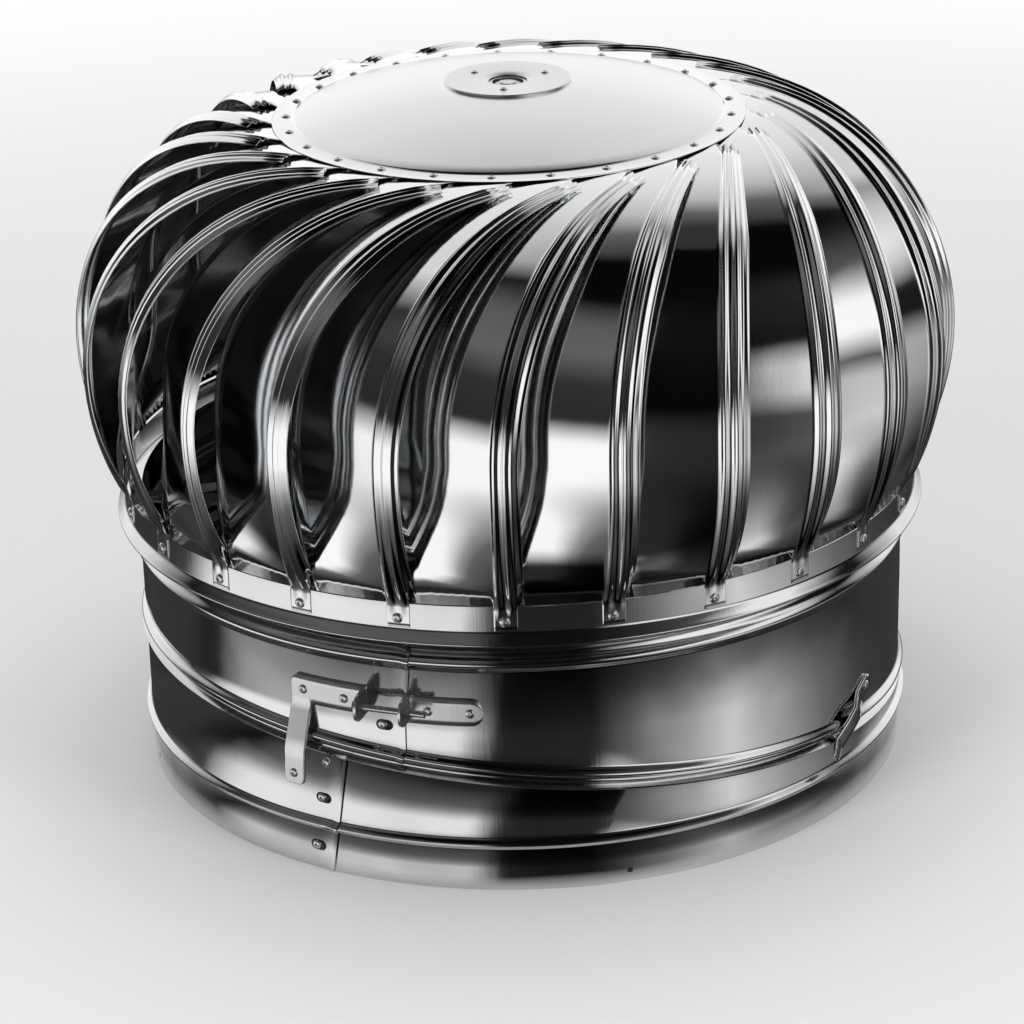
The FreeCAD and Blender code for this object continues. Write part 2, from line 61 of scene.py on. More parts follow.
def steel(name, colour, roughness, spread, wave, hairline, patches=0.93):
    """Steel whose tone goes down to a share of its colour in broad patches.

    Its roughness goes up by the spread, and its waves and hairlines are as strong as given.
    """
    material = bpy.data.materials.new(name)
    material.use_nodes = True
    nodes, links = material.node_tree.nodes, material.node_tree.links
    shader = nodes["Principled BSDF"]
    shader.inputs["Metallic"].default_value = 1.0
    place = made(nodes, "TexCoord")
    broad = made(nodes, "TexNoise", inputs={"Scale": TONE_SCALE, "Detail": 2.0})
    fine = made(nodes, "TexNoise", inputs={"Scale": HAIRLINE_SCALE, "Detail": 3.0})
    stretch = made(nodes, "Mapping", inputs={"Scale": (1.0, 1.0, HAIRLINE_STRETCH)})
    links.new(place.outputs["Object"], broad.inputs["Vector"])
    links.new(place.outputs["Object"], stretch.inputs["Vector"])
    links.new(stretch.outputs["Vector"], fine.inputs["Vector"])
    darkest = [patches * part for part in colour]
    tone = nodes.new("ShaderNodeMix")
    tone.data_type = "RGBA"
    tone.inputs["A"].default_value = (*darkest, 1)
    tone.inputs["B"].default_value = (*colour, 1)
    links.new(broad.outputs["Fac"], tone.inputs["Factor"])
    links.new(tone.outputs["Result"], shader.inputs["Base Color"])
    rough = made(nodes, "MapRange", inputs={"To Min": roughness, "To Max": roughness + spread})
    links.new(fine.outputs["Fac"], rough.inputs["Value"])
    links.new(rough.outputs["Result"], shader.inputs["Roughness"])
    waves = made(nodes, "Bump", inputs={"Strength": wave, "Distance": WAVE_DEPTH})
    lines = made(nodes, "Bump", inputs={"Strength": hairline, "Distance": HAIRLINE_DEPTH})
    links.new(broad.outputs["Fac"], waves.inputs["Height"])
    links.new(fine.outputs["Fac"], lines.inputs["Height"])
    links.new(waves.outputs["Normal"], lines.inputs["Normal"])
    links.new(lines.outputs["Normal"], shader.inputs["Normal"])
    return material


satin = steel("satin_sheet", (0.78, 0.79, 0.80), 0.26, 0.12, 0.05, 0.10)
plain = steel("plain_steel", (0.62, 0.63, 0.64), 0.20, 0.15, 0.05, 0.15)
for node, material in (
    ("clamp_bolt", plain),
    ("clamp_nut", plain),
    ("hub_spider", satin),
    ("shaft", plain),
    ("shaft_nuts", plain),
    ("shaft_spacers", satin),
    ("bearing_inner_races", plain),
    ("bearing_outer_races", plain),
    ("bearing_carriers", satin),
):
    carried = bpy.data.objects[node]
    carried.data.materials.clear()
    carried.data.materials.append(material)


# Collars of the throat: two strips of polished sheet, rolled with beads and bent round until the left
# end lies riveted on the right one. They turn on each other along the slanted beads of the joint.
# Lengths are in millimetres, and azimuths in degrees from the front (-Y), positive to the right.
MM = 0.001
UP = Vector((0, 0, 1))
THROAT = 300.0
SHEET = 0.8
COLUMNS = 240
ROUND = 24
COLLAR_SHARP = 40

# The slanted joint: its height at the axis, the azimuth of its highest point, and its slope.
JOINT_Z = 89.0
JOINT_HIGH = -75.0
JOINT_TILT = math.atan(30.0 / 300.0)

# Each bead by the height of its middle, half its width, and how far it stands out. Heights of the
# stop, neck and joint beads are counted from the joint, square to its slant.
SKIRT_BEAD = (38.0, 5.0, 4.3)
STOP_BEAD = (-10.5, 3.0, 3.4)
NECK_BEAD = (0.0, 5.6, 4.6)
JOINT_BEAD = (0.0, 6.0, 4.6)
TOP_BEAD = (183.0, 8.0, 4.8)

# How far the necks lie inside the walls, and the heights that end the overlap of each collar's ends.
LOWER_NECK = 1.2
UPPER_NECK = 3.5
STOP_TOP = -8.5
SHOULDER = 193.0

# The overlap in degrees, how far it stands off, and where the seams cross the joint.
LAP = 1.3
LAP_STAND = 1.7
SEAM_SIDE = -27.0
SEAM_CROSSING = 98.0

# The screw holes in the skirt.
HOLES = 4
HOLE_AZIMUTH = 14.2
HOLE_Z = 9.1
HOLE_RADIUS = 2.1
DRILL_ENDS = (296.0, 304.0)


def point(radius, azimuth, z):
    """A point by its radius, azimuth and height."""
    turn = math.radians(azimuth)
    return Vector((radius * math.sin(turn), -radius * math.cos(turn), z))


def mesh_object(name, points, faces, sharp=32):
    """A mesh object at the origin from points in millimetres, smooth except at sharp edges."""
    mesh = bpy.data.meshes.new(name)
    mesh.from_pydata([place * MM for place in points], [], faces)
    mesh.validate()
    work = bmesh.new()
    work.from_mesh(mesh)
    bmesh.ops.remove_doubles(work, verts=work.verts, dist=0.001 * MM)
    work.to_mesh(mesh)
    work.free()
    mesh.shade_smooth()
    mesh.set_sharp_from_angle(angle=math.radians(sharp))
    piece = bpy.data.objects.new(name, mesh)
    bpy.context.scene.collection.objects.link(piece)
    return piece


def grid(rows, round_rows=False, round_columns=False, first=0):
    """Faces of a grid of points in rows, with a missing point as None."""
    numbers = []
    count = first
    for row in rows:
        numbers.append([])
        for place in row:
            numbers[-1].append(None if place is None else count)
            count += place is not None
    faces = []
    height, width = len(rows), len(rows[0])
    for row in range(height if round_rows else height - 1):
        for column in range(width if round_columns else width - 1):
            next_row, next_column = (row + 1) % height, (column + 1) % width
            face = (numbers[row][column], numbers[row][next_column],
                    numbers[next_row][next_column], numbers[next_row][column])
            if None not in face:
                faces.append(face)
    return faces


def grid_points(rows):
    """The points of a grid in the order that its faces count them."""
    return [place for row in rows for place in row if place is not None]


def face_outwards(mesh):
    """Turn the faces of a closed mesh outwards."""
    work = bmesh.new()
    work.from_mesh(mesh)
    bmesh.ops.recalc_face_normals(work, faces=work.faces)
    work.to_mesh(mesh)
    work.free()


def finished(piece, body, material):
    """The piece as a plain mesh with outward faces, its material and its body."""
    depsgraph = bpy.context.evaluated_depsgraph_get()
    mesh = bpy.data.meshes.new_from_object(piece.evaluated_get(depsgraph))
    piece.modifiers.clear()
    piece.data = mesh
    face_outwards(mesh)
    mesh.materials.clear()
    mesh.materials.append(material)
    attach(piece, body)
    return piece


def bump(radius, centre, half, stand, steps=9):
    """A rolled bead as (radius, height) corners from bottom to top."""
    heights = [-half + 2 * half * step / steps for step in range(steps + 1)]
    return [(radius + stand * math.cos(math.pi * z / (2 * half)) ** 2, centre + z) for z in heights]


def collar_place(slant, radius, z, azimuth):
    """The place of a profile point at an azimuth, slanted with the joint or level."""
    if not slant:
        return point(radius, azimuth, z)
    local = point(radius, azimuth - JOINT_HIGH, z)
    tilted = Matrix.Rotation(-JOINT_TILT, 3, "X") @ local + Vector((0, 0, JOINT_Z))
    return Matrix.Rotation(math.radians(JOINT_HIGH), 3, "Z") @ tilted


def wall(name, profile, seam, lapped):
    """A collar's wall from a profile of (slanted, radius, height) corners, bottom to top.

    Columns run round the axis from the seam to the seam. The last ones, left of it, rise off the
    sheet below them where the profile's corner is lapped.
    """
    loop = [(slant, radius, z, lapped(slant, z)) for slant, radius, z in profile(0.0)]
    loop += [(slant, radius, z, False) for slant, radius, z in profile(SHEET)[::-1]]
    turns = [(360.0 - LAP) * step / COLUMNS for step in range(COLUMNS + 1)]
    turns += [360.0 - LAP / 2, 360.0 - LAP / 5, 360.0]
    rows = []
    for turn in turns:
        row = []
        lift = max(0.0, turn - 360.0 + LAP) / LAP
        for slant, radius, z, lap in loop:
            height = collar_place(slant, radius, z, SEAM_SIDE).z
            stand = LAP_STAND * lift * (2 - lift) if lap else 0.0
            row.append(collar_place(slant, radius + stand, z, seam(height) + turn))
        rows.append(row)
    return mesh_object(name, grid_points(rows), grid(rows, True, True), COLLAR_SHARP)


def lower_profile(inset):
    """The skirt and its bead, then the slanted stop bead, and the neck with its bead."""
    radius = THROAT - inset
    neck = radius - LOWER_NECK
    level = [(radius, 0.0), (radius, 18.0)] + bump(radius, *SKIRT_BEAD)
    slanted = bump(radius, *STOP_BEAD, 6)[:4] + [(neck + 0.6, -8.2), (neck, -7.5)]
    slanted += bump(neck, *NECK_BEAD) + [(neck - 1.0, 16.0)]
    return [(False, r, z) for r, z in level] + [(True, r, z) for r, z in slanted]


def upper_profile(inset):
    """The slanted joint bead, then the barrel, the top bead, the shoulder and the upper neck."""
    radius = THROAT - inset
    neck = radius - UPPER_NECK
    slanted = bump(radius, *JOINT_BEAD)
    level = [(radius, 132.0)] + bump(radius, *TOP_BEAD, 12)
    level += [(radius - 1.4, SHOULDER), (neck, 196.0), (neck, 221.0)]
    return [(True, r, z) for r, z in slanted] + [(False, r, z) for r, z in level]


def lower_lapped(slant, height):
    """Whether the lower collar's ends overlap here, which they do up to the stop bead."""
    return not slant or height < STOP_TOP


def upper_lapped(slant, height):
    """Whether the upper collar's ends overlap here, which they do up to the shoulder."""
    return slant or height < SHOULDER


def lower_seam(height):
    """Azimuth of the lower collar's seam at a height."""
    return -29.1 + 3.1 * height / SEAM_CROSSING


def upper_seam(height):
    """Azimuth of the upper collar's seam at a height."""
    return -17.6 + 1.8 * (height - SEAM_CROSSING) / (SHOULDER - SEAM_CROSSING)


rolled = steel("rolled_sheet", (0.82, 0.83, 0.84), 0.07, 0.06, 0.42, 0.05, 0.62)
lower_collar = wall("lower_collar_wall", lower_profile, lower_seam, lower_lapped)
drill_points = []
drill_faces = []
for hole in range(HOLES):
    azimuth = HOLE_AZIMUTH + 360.0 / HOLES * hole
    turn = UP.rotation_difference(point(1, azimuth, 0)).to_matrix()
    rim = [turn @ point(HOLE_RADIUS, 360.0 / ROUND * step, 0) for step in range(ROUND)]
    ends = [[point(radius, azimuth, HOLE_Z) + corner for corner in rim] for radius in DRILL_ENDS]
    first = len(drill_points)
    drill_faces += grid(ends, False, True, first)
    drill_faces.append(tuple(range(first, first + ROUND)))
    drill_faces.append(tuple(range(first + ROUND, first + 2 * ROUND))[::-1])
    drill_points += grid_points(ends)
drills = mesh_object("drills", drill_points, drill_faces)
face_outwards(drills.data)
face_outwards(lower_collar.data)
cut = lower_collar.modifiers.new("holes", "BOOLEAN")
cut.object = drills
finished(lower_collar, "base", rolled)
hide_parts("lower_collar")
lower_collar.data.set_sharp_from_angle(angle=math.radians(COLLAR_SHARP))
bpy.data.objects.remove(drills)
upper_collar = wall("upper_collar_wall", upper_profile, upper_seam, upper_lapped)
finished(upper_collar, "throat", rolled)
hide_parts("upper_collar")


# Rotor ring: a band of polished sheet that carries the feet of the vanes, with a sloping skirt below
# it that ends in a rolled hem. It is one closed profile, turned round the axis.
HEM_CENTRE = (314.6, 203.9)
HEM_RADIUS = 1.4


def turned_ring(name, profile):
    """A closed profile of (radius, height) corners carried round the axis."""
    azimuths = [360.0 * step / COLUMNS for step in range(COLUMNS)]
    rows = [[point(radius, azimuth, z) for radius, z in profile] for azimuth in azimuths]
    return mesh_object(name, grid_points(rows), grid(rows, True, True))


def arc(centre, radius, start, end, steps):
    """Corners of an arc between two angles in degrees, counted from the outward direction."""
    angles = [start + (end - start) * step / steps for step in range(steps + 1)]
    return [(centre[0] + radius * math.cos(math.radians(angle)),
             centre[1] + radius * math.sin(math.radians(angle))) for angle in angles]


ring_profile = [(310.0, 232.0), (310.0, 213.0), (310.3, 211.7), (311.0, 210.6), (314.6, 206.6)]
ring_profile += arc(HEM_CENTRE, HEM_RADIUS, 60, -150, 10)
ring_profile += [(313.6, 205.4), (310.4, 209.6), (309.5, 211.0), (309.2, 212.6), (309.2, 232.0)]
rotor_ring = turned_ring("rotor_ring_rolled", ring_profile)
finished(rotor_ring, "rotor", rolled)
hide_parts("rotor_ring")


# Cap: a disc pressed into a flat rim, a small step and a shallow dome that is flat in the middle.
# The dome is duller than the rim.
RIM_EDGE = 180.0
RIM_TOP = 506.8
RIM_UNDER = 506.0
STEP_EDGE = 163.4
DOME_EDGE = 162.5
DOME_FOOT = 508.6
DOME_TOP = 531.0
DOME_FLAT = 50.0
DOME_FALL = (DOME_TOP - DOME_FOOT) / (DOME_EDGE**2 - DOME_FLAT**2)
FROST = 0.16


def frosted(material, radius):
    """The same sheet, duller within a radius round the axis."""
    nodes, links = material.node_tree.nodes, material.node_tree.links
    roughness = nodes["Principled BSDF"].inputs["Roughness"]
    place = made(nodes, "TexCoord")
    flat = made(nodes, "VectorMath", "MULTIPLY", {1: (1, 1, 0)})
    reach = made(nodes, "VectorMath", "LENGTH")
    inside = made(nodes, "Math", "LESS_THAN", {1: radius * MM})
    dull = made(nodes, "Math", "MULTIPLY_ADD", {1: FROST})
    links.new(place.outputs["Object"], flat.inputs[0])
    links.new(flat.outputs[0], reach.inputs[0])
    links.new(reach.outputs["Value"], inside.inputs[0])
    links.new(inside.outputs[0], dull.inputs[0])
    links.new(roughness.links[0].from_socket, dull.inputs[2])
    links.new(dull.outputs[0], roughness)
    return material


def dome_height(radius):
    """Top of the dome at a radius."""
    return DOME_TOP - DOME_FALL * max(radius**2 - DOME_FLAT**2, 0)


pressed = frosted(steel("pressed_cap_sheet", (0.84, 0.85, 0.86), 0.07, 0.06, 0.08, 0.03), DOME_EDGE)
dome_radii = [DOME_EDGE - (DOME_EDGE - DOME_FLAT) * step / 14 for step in range(15)] + [35.0, 20.0]
dome_top = [(radius, dome_height(radius)) for radius in dome_radii]
rim_top = [(RIM_EDGE, RIM_UNDER), (RIM_EDGE, 506.6), (RIM_EDGE - 0.2, RIM_TOP), (165.4, RIM_TOP)]
rim_top += [(164.2, 507.1), (STEP_EDGE, 507.9)]
cap_under = [(STEP_EDGE, RIM_UNDER)]
cap_under += [(radius - 0.3, height - SHEET) for radius, height in dome_top]
cap_sheet = turned_ring("cap_pressed", rim_top + dome_top + cap_under[::-1])
finished(cap_sheet, "rotor", pressed)
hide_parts("cap")


# Hub plate: a disc of satin sheet, dished down at its centre hole and riveted on top of the dome.
# It is turned in the same way as the cap.
HUB_TOP = 533.0
hub_profile = [(48.0, DOME_TOP), (48.0, 532.6), (47.6, HUB_TOP), (20.0, HUB_TOP)]
hub_profile += [(17.5, 532.6), (15.4, 531.6), (14.5, 531.1), (14.6, DOME_TOP)]
hub_disc = turned_ring("hub_plate_dished", hub_profile)
finished(hub_disc, "rotor", satin)
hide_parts("hub_plate")


# Vanes: 25 strips of thin polished sheet, each with two ribs along its turned free edge, rolled in an
# upright plane beside the axis. The foot is riveted to the ring and the top tab lies under the cap.
# A place on the strip is w, measured inwards from the rib line, and n is its height off the strip.
VANES = 25
VANE_AZIMUTH = -2.44
VANE_SHEET = 0.6
PLANE = 166.0
PLANE_AZIMUTH = 60.3

# The vane's side view: foot on the ring, crease, belly out to the widest level, crown to the cap.
TAB_HEIGHTS = (213.5, 217.0, 221.0, 225.0, 229.0)
TAB_KEEP = (-9.5, 8.1)
CREASE_KEEP = (-11.8, 70.0)
FOOT = 233.2
FOOT_RADIUS = 310.7
FOOT_WIDTH = 66.0
FOOT_LIP = 0.6
FOOT_RELIEF = 0.35
FADE_Z = 224.0
FADE_RISE = 10.0
CREASE_RISE = 12.0
CREASE_FROM = 8.0
CREASE_SLOPE = 0.2
BELLY_RISE = 104.8
WIDEST = 338.0
VANE_RADIUS = 335.0
BELLY_OUT = VANE_RADIUS - FOOT_RADIUS
BELLY_RADIUS = (BELLY_OUT**2 + (WIDEST - FOOT) ** 2) / (2 * BELLY_OUT)
CROWN_CENTRE = 186.0
CROWN_HEIGHT = 167.9
END_OFFSET = 96.0
END_RADIUS = math.hypot(END_OFFSET, PLANE)
END_ANGLE = math.degrees(math.acos((END_RADIUS - CROWN_CENTRE) / (VANE_RADIUS - CROWN_CENTRE)))
NARROW_ANGLE = 55.0
NARROWED = 0.4
LIP_LOSS = 2.5

# How far the strip leans back and how wide it is, by the rise over the foot or by the crown's angle.
SKEW = ((0.0, 0.0), (30.0, 16.0), (66.0, 26.5), (104.8, 29.7))
BELLY_WIDTH = ((0.0, 66.0), (30.0, 83.0), (66.0, 97.0), (104.8, 102.0))
CROWN_WIDTH = ((0.0, 102.0), (24.0, 98.0), (44.0, 84.0), (60.0, 68.0), (75.0, 50.0), (90.0, 32.0))

# The strip's cross-section: the turned lip as (w, share of its depth), two ribs, the panel, and the
# hem as (distance from the inner edge, n).
LIP = 4.0
LIP_EDGE = ((-14.0, 1.0), (-13.2, 0.98), (-11.6, 0.6), (-10.2, 0.2), (-9.2, 0.0))
RIBS = (-5.0, 3.9)
RIB_HALF = 3.9
RIB_HEIGHT = 2.2
RIB_STEPS = 8
PANEL_GAP = 1.5
PANEL_STEPS = 7
BOW = 3.0
HEM_WIDTH = 5.0
HEM = ((4.2, 0.5), (3.4, 0.8), (2.6, 0.5), (1.8, 0.1), (0.0, 0.1))

# Rows of the belly and of the crown, and the angle between faces that makes an edge sharp.
BELLY_STEPS = 12
CROWN_STEPS = 24
VANE_SHARP = 50


def smooth_line(knots, x):
    """The value at x of a smooth line through (x, value) knots."""
    last = len(knots) - 2
    spot = min(max(sum(x >= knot[0] for knot in knots) - 1, 0), last)
    slopes = []
    for index in range(len(knots)):
        before = knots[max(index - 1, 0)]
        after = knots[min(index + 1, len(knots) - 1)]
        slopes.append((after[1] - before[1]) / (after[0] - before[0]))
    (x0, y0), (x1, y1) = knots[spot], knots[spot + 1]
    step = x1 - x0
    t = (x - x0) / step
    rise = y0 * (1 + 2 * t) * (1 - t) ** 2 + y1 * t * t * (3 - 2 * t)
    return rise + step * (slopes[spot] * t * (1 - t) ** 2 - slopes[spot + 1] * t * t * (1 - t))


def section(width, share, lip, bow=0.0):
    """The strip's cross-section as (w, n) corners, from its free edge to its inner edge.

    The lip and ribs narrow to a share of their width, and the panel bows by a little towards its hem.
    """
    corners = [(w, -lip * depth) for w, depth in LIP_EDGE]
    for centre in RIBS:
        for step in range(RIB_STEPS + 1):
            offset = -RIB_HALF + 2 * RIB_HALF * step / RIB_STEPS
            rise = RIB_HEIGHT * math.cos(math.pi * offset / (2 * RIB_HALF)) ** 2
            corners.append((centre + offset, rise))
    corners = [(w * share, n) for w, n in corners]
    first = corners[-1][0] + PANEL_GAP
    last = width - HEM_WIDTH
    panel = [first + (last - first) * step / PANEL_STEPS for step in range(PANEL_STEPS + 1)]
    corners += [(w, 0.0) for w in panel]
    corners += [(width - back, n) for back, n in HEM]
    return [(w, n - bow * (max(w - first, 0.0) / (width - first)) ** 2) for w, n in corners]


def foot_points(z, keep):
    """A row of the strip that lies on the ring's circle, with the corners kept between two w."""
    row = []
    for w, n in section(FOOT_WIDTH, 1.0, FOOT_LIP):
        azimuth = -math.degrees(w / FOOT_RADIUS)
        fade = max(0.0, min(1.0, (z - FADE_Z) / FADE_RISE))
        place = point(FOOT_RADIUS + n * fade * FOOT_RELIEF, azimuth, z)
        row.append(place if keep[0] <= w <= keep[1] else None)
    return row


def belly_points(share):
    """A row between the crease over the ring and the widest level."""
    row = []
    middle = CREASE_RISE + (BELLY_RISE - CREASE_RISE) * share
    for w, n in section(smooth_line(BELLY_WIDTH, middle), 1.0, LIP, BOW * share):
        crease = CREASE_RISE + CREASE_SLOPE * max(w - CREASE_FROM, 0.0)
        rise = crease + (BELLY_RISE - crease) * share
        skew = smooth_line(SKEW, rise)
        lean = math.asin((rise - BELLY_RISE) / BELLY_RADIUS)
        radius = VANE_RADIUS - BELLY_RADIUS * (1 - math.cos(lean))
        normal = point(math.cos(lean), -skew, 0) + UP * math.sin(lean)
        row.append(point(radius, 0, FOOT + rise) + point(1, -90 - skew, 0) * w + normal * n)
    return row


def crown_points(angle):
    """A row above the widest level, at an angle of the crown's arc."""
    turn = math.radians(angle)
    radius = CROWN_CENTRE + (VANE_RADIUS - CROWN_CENTRE) * math.cos(turn)
    offset = math.sqrt(radius**2 - PLANE**2)
    sideways = point(1, PLANE_AZIMUTH - 90, 0)
    normal = sideways * (CROWN_HEIGHT * math.cos(turn))
    normal += UP * ((VANE_RADIUS - CROWN_CENTRE) * math.sin(turn) * radius / offset)
    normal.normalize()
    place = point(PLANE, PLANE_AZIMUTH, WIDEST + CROWN_HEIGHT * math.sin(turn)) + sideways * offset
    late = max(0.0, (angle - NARROW_ANGLE) / (END_ANGLE - NARROW_ANGLE))
    share = 1.0 - NARROWED * late
    lip = LIP - LIP_LOSS * late
    corners = section(smooth_line(CROWN_WIDTH, angle), share, lip, BOW * (1 - angle / END_ANGLE))
    return [place - point(w, PLANE_AZIMUTH, 0) + normal * n for w, n in corners]


def tab_points(offset, right, left):
    """A row of the flat tab under the cap's rim, which only the panel and hem run on into."""
    place = point(PLANE, PLANE_AZIMUTH, WIDEST + CROWN_HEIGHT) + point(offset, PLANE_AZIMUTH - 90, 0)
    missing = len(LIP_EDGE) + len(RIBS) * (RIB_STEPS + 1)
    count = PANEL_STEPS + 1 + len(HEM)
    widths = [right + (left - right) * step / (count - 1) for step in range(count)]
    return [None] * missing + [place - point(w, PLANE_AZIMUTH, 0) for w in widths]


def ring_tree():
    """The node tree that repeats a piece round the axis, from a starting angle."""
    tree = bpy.data.node_groups.new("round_the_axis", "GeometryNodeTree")
    for label, kind in (("Piece", "NodeSocketGeometry"), ("Count", "NodeSocketInt"),
                        ("Start", "NodeSocketFloat"), ("Finish", "NodeSocketMaterial")):
        tree.interface.new_socket(label, in_out="INPUT", socket_type=kind)
    tree.interface.new_socket("Ring", in_out="OUTPUT", socket_type="NodeSocketGeometry")
    nodes, links = tree.nodes, tree.links
    start = nodes.new("NodeGroupInput")
    end = nodes.new("NodeGroupOutput")
    places = nodes.new("GeometryNodePoints")
    index = nodes.new("GeometryNodeInputIndex")
    share = made(nodes, "Math", "DIVIDE")
    turn = made(nodes, "Math", "MULTIPLY_ADD", {1: 2 * math.pi})
    spin = made(nodes, "CombineXYZ")
    copies = nodes.new("GeometryNodeInstanceOnPoints")
    real = nodes.new("GeometryNodeRealizeInstances")
    finish = nodes.new("GeometryNodeSetMaterial")
    links.new(start.outputs["Count"], places.inputs["Count"])
    links.new(index.outputs[0], share.inputs[0])
    links.new(start.outputs["Count"], share.inputs[1])
    links.new(share.outputs[0], turn.inputs[0])
    links.new(start.outputs["Start"], turn.inputs[2])
    links.new(turn.outputs[0], spin.inputs["Z"])
    links.new(places.outputs[0], copies.inputs["Points"])
    links.new(start.outputs["Piece"], copies.inputs["Instance"])
    links.new(spin.outputs[0], copies.inputs["Rotation"])
    links.new(copies.outputs[0], real.inputs[0])
    links.new(real.outputs[0], finish.inputs["Geometry"])
    links.new(start.outputs["Finish"], finish.inputs["Material"])
    links.new(finish.outputs[0], end.inputs["Ring"])
    return tree


round_the_axis = ring_tree()


def repeated(piece, count, azimuth, material):
    """The piece's ring of copies, set up as a modifier on it."""
    modifier = piece.modifiers.new("ring", "NODES")
    modifier.node_group = round_the_axis
    values = {"Count": count, "Start": math.radians(azimuth), "Finish": material}
    for item in round_the_axis.interface.items_tree:
        if item.in_out == "INPUT" and item.name in values:
            modifier[item.identifier] = values[item.name]
    return piece


polished = steel("polished_sheet", (0.86, 0.87, 0.88), 0.055, 0.05, 0.22, 0.02)
vane_rows = [foot_points(z, TAB_KEEP) for z in TAB_HEIGHTS]
vane_rows += [foot_points(FOOT, CREASE_KEEP)]
vane_rows += [belly_points(step / BELLY_STEPS) for step in range(BELLY_STEPS)]
vane_rows += [crown_points(END_ANGLE * step / CROWN_STEPS) for step in range(CROWN_STEPS + 1)]
vane_rows += [tab_points(88.0, 8.0, 32.0), tab_points(76.0, 11.0, 32.0)]
vanes = mesh_object("vanes_pressed", grid_points(vane_rows), grid(vane_rows), VANE_SHARP)
thickness = vanes.modifiers.new("sheet", "SOLIDIFY")
thickness.thickness = VANE_SHEET * MM
thickness.offset = 1.0
repeated(vanes, VANES, VANE_AZIMUTH, polished)
finished(vanes, "rotor", polished)
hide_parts(*["vane_{:02d}".format(number + 1) for number in range(VANES)])


# Clamp latch: two plates of 2 mm satin strip, bent to the upper collar's wall and riveted on it. The
# left one has a leg that leans out over the joint. Each carries a rounded lug drilled for the bolt.
PLATE = 2.0
PLATE_SHARP = 30
BOLT_RADIUS = 312.0
BOLT_AZIMUTH = -19.8
BOLT_Z = 147.0
BOLT_HOLE = 2.75
LUG_REACH = 10.0
LUG_HALF = 10.5

# The left plate: its inner face, its left end, its edges, and the leg below it.
LEFT_FACE = 300.45
LEFT_END = -34.6
LEFT_LOW = 136.5
LEFT_HIGH = 157.5
LEFT_CORNER = 5.0
LEFT_LUG = -17.0
LEG_WIDTH = 17.0
LEG_HEIGHTS = (130.0, 124.0, 118.0, 109.0, 100.5, 92.0, 82.0, 78.0, 76.0, 74.5, 73.4, 73.0)
LEG_TIP = 73.0
LEG_CORNER = 4.0
LEG_OUT = 9.55
LEG_BEND = 36.0
LEG_SLANT = 3.0
PAST_LEG = 45.4

# The right plate: its inner face, its left end, its middle, and its rounded right end.
RIGHT_FACE = 300.1
RIGHT_END = -16.5
RIGHT_MIDDLE = 144.0
RIGHT_HALF = 10.2
RIGHT_LENGTH = 56.06
RIGHT_CORNER = 10.0
RIGHT_LUG = 17.5


def lug_points(offset, foot):
    """Rows of a lug's hole and outline on its left face, then on its right one.

    The outline is round outwards of the bolt and squared inwards of it, down to the foot's radius.
    """
    rows = []
    middle = point(BOLT_RADIUS, BOLT_AZIMUTH, BOLT_Z)
    sideways = point(1, BOLT_AZIMUTH + 90, 0)
    outward = point(1, BOLT_AZIMUTH, 0)
    near, far = middle + sideways * offset, middle + sideways * (offset + PLATE)
    for step in range(ROUND):
        turn = math.radians(360.0 / ROUND * step)
        reach, power = (LUG_REACH, 2.4) if math.cos(turn) > 0 else (BOLT_RADIUS - foot, 8.0)
        bulk = (abs(math.cos(turn)) / reach) ** power + (abs(math.sin(turn)) / LUG_HALF) ** power
        edge = bulk ** (-1 / power)
        spoke = outward * math.cos(turn) + UP * math.sin(turn)
        rows.append([near + spoke * BOLT_HOLE, near + spoke * edge,
                     far + spoke * edge, far + spoke * BOLT_HOLE])
    return rows


def corner_fall(distance, radius):
    """How far an edge falls back at a distance from an end with rounded corners."""
    short = max(radius - distance, 0.0)
    return radius - math.sqrt(radius**2 - short**2)


def bent_plate(name, node, rows, lug, material=satin):
    """A plate of 2 mm sheet from rows on its inner face, with its lug."""
    plate = mesh_object(name, grid_points(rows), grid(rows), PLATE_SHARP)
    sheet = plate.modifiers.new("sheet", "SOLIDIFY")
    sheet.thickness = PLATE * MM
    sheet.offset = -1.0
    finished(plate, "throat", material)
    if lug:
        lug_piece = mesh_object(name + "_lug", grid_points(lug), grid(lug, True, True), PLATE_SHARP)
        finished(lug_piece, "throat", satin)
    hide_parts(node)
    return plate


left_spots = [0.0, 0.4, 1.0, 2.0, 3.3, 5.0, 8.5, 12.0, 15.5, LEG_WIDTH]
left_spots += [LEG_WIDTH + PAST_LEG * step / 8 for step in range(1, 9)]
left_rows = []
for share in (1.0, 0.8, 0.6, 0.4, 0.2, 0.0):
    row = []
    for spot in left_spots:
        top = LEFT_HIGH - corner_fall(spot, LEFT_CORNER)
        azimuth = LEFT_END + math.degrees(spot / LEFT_FACE)
        row.append(point(LEFT_FACE, azimuth, LEFT_LOW + (top - LEFT_LOW) * share))
    left_rows.append(row)
leg_half = LEG_WIDTH / 2
for z in LEG_HEIGHTS:
    radius = LEFT_FACE + LEG_OUT * min((LEFT_LOW - z) / LEG_BEND, 1.0)
    squeeze = 1 - corner_fall(z - LEG_TIP, LEG_CORNER) / leg_half
    slant = LEG_SLANT * (LEFT_LOW - z) / (LEFT_LOW - LEG_TIP)
    row = []
    for spot in left_spots:
        azimuth = LEFT_END + math.degrees((leg_half + (spot - leg_half) * squeeze - slant) / LEFT_FACE)
        row.append(point(radius, azimuth, z) if spot <= LEG_WIDTH else None)
    left_rows.append(row)
bent_plate("latch_left_rolled", "latch_left_plate", left_rows, lug_points(LEFT_LUG, LEFT_FACE))

